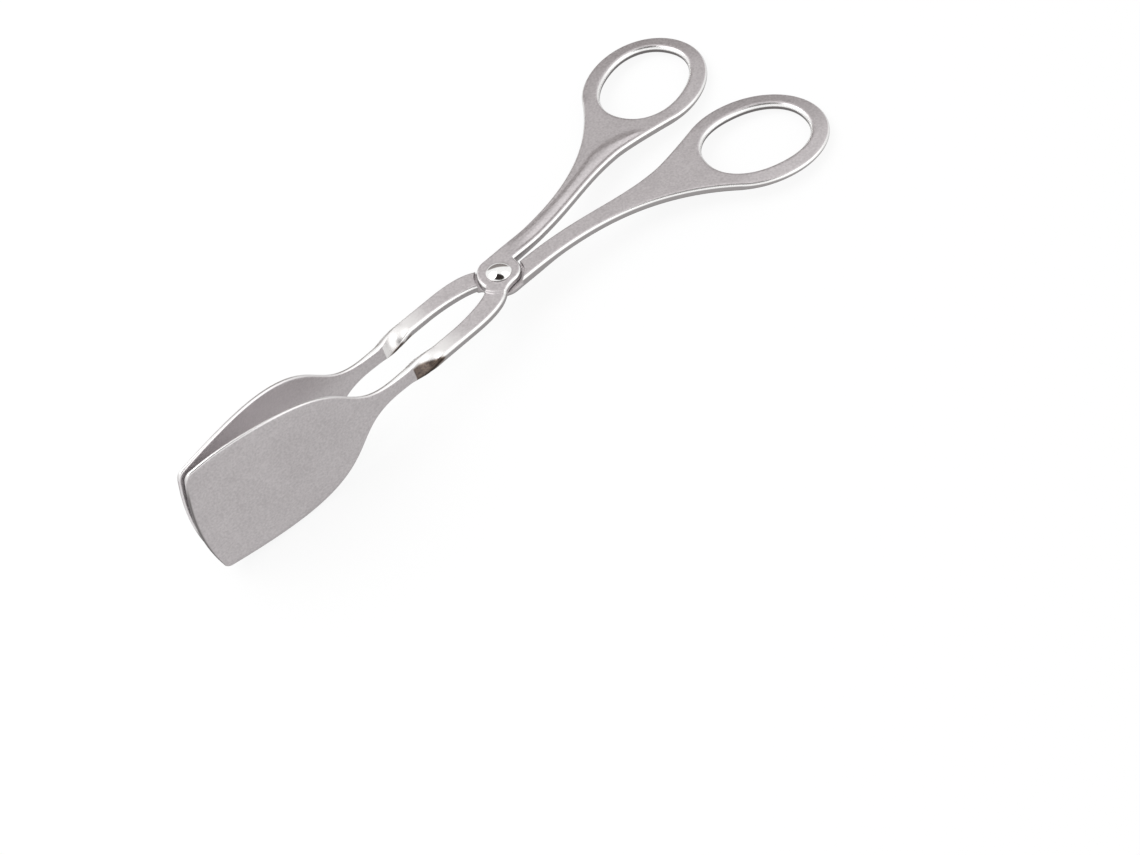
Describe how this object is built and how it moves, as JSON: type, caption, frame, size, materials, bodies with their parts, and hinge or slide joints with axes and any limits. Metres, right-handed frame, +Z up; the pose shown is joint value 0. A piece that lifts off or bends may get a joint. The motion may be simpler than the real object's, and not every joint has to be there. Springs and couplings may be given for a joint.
{
  "type": "scissor kitchen tongs",
  "caption": "Scissor-action steel tongs with finger rings, a riveted half-lap pivot and broad upright gripping blades twisted from flat neck strips.",
  "frame": {"origin": "centre of the footprint, on the surface that the blades' lower edges and the finger rings rest on", "axes": "+X from the blade tips to the finger rings, +Y to the upper arm's ring, +Z up"},
  "size_m": [0.1992, 0.0758, 0.0382],
  "materials": {
    "satin_steel": "bead-blasted satin faces with tumbled bright edges",
    "polished_steel": "polished rivet"
  },
  "bodies": {
    "upper_half": {"upper_arm": "satin_steel", "rivet": "polished_steel"},
    "lower_half": {"lower_arm": "satin_steel"}
  },
  "joints": [
    {"name": "rivet_pivot", "type": "hinge", "parent": "upper_half", "child": "lower_half", "pos_m": [0.0015, 0, 0.01083], "axis": [-0.098, 0, -0.9952], "range_deg": [0, 44]}
  ]
}
